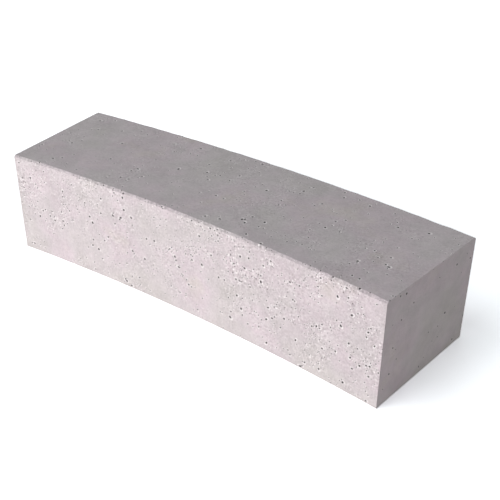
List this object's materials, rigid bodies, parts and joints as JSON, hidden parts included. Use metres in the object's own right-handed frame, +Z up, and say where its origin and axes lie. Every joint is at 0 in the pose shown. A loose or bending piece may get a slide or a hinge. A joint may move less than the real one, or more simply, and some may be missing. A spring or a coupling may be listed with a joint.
{
  "type": "curved concrete seating block",
  "caption": "Solid concrete seating block, curved in plan, with a flat seat, concave front, convex back, radial ends and chamfered long top edges; laid end to end in an arc or ring.",
  "frame": {"origin": "centre of the bounding box in plan, at ground level", "axes": "+X along the block, +Y from the concave face to the convex face, +Z up"},
  "size_m": [1.6942, 0.5376, 0.4],
  "materials": {
    "concrete": "matte, as cast, pale grey with a faint pink cast, fine pores on the upright faces"
  },
  "bodies": {
    "root": {"seating_block": "concrete"}
  },
  "joints": []
}
